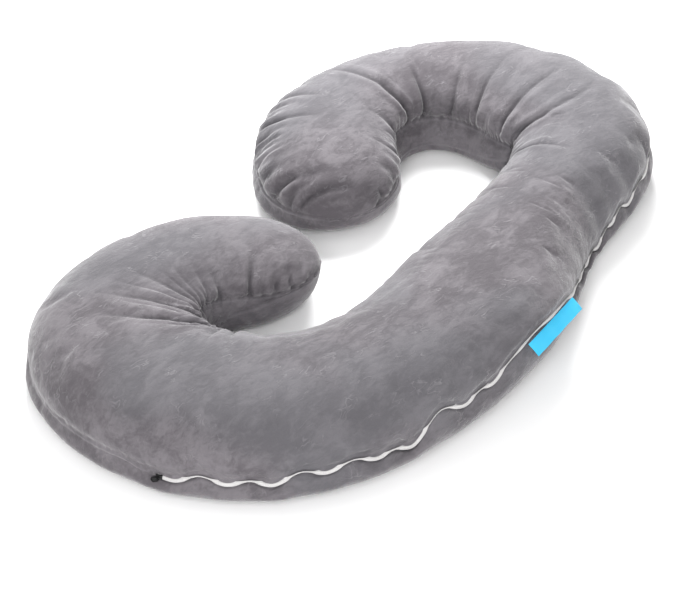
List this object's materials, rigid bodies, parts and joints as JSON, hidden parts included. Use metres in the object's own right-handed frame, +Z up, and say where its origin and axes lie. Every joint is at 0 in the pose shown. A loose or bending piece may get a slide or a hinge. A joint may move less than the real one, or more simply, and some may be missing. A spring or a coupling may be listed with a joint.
{
  "type": "pregnancy pillow",
  "caption": "C-shaped body pillow: a long stuffed tube whose ends curl in towards each other, with gusseted inner bends and a zip in its outer seam.",
  "frame": {"origin": "on the surface it rests on, under the middle of its bounding box", "axes": "+Z up. +Y along its long side, from the hook that is lower in the picture towards the other hook. +X out through the C's back, so the C opens towards -X"},
  "size_m": [0.8704, 1.385, 0.164],
  "materials": {
    "velvet_grey": "short-pile velvet, matte with a soft sheen",
    "zip_white": "coil zip on woven tape",
    "slider_black": "black enamel, satin",
    "label_blue": "folded woven ribbon, bare"
  },
  "bodies": {
    "root": {"pillow_body": "velvet_grey", "zip_tape": "zip_white", "zip_slider": "slider_black", "zip_pull": "slider_black", "side_label": "label_blue"}
  },
  "joints": []
}
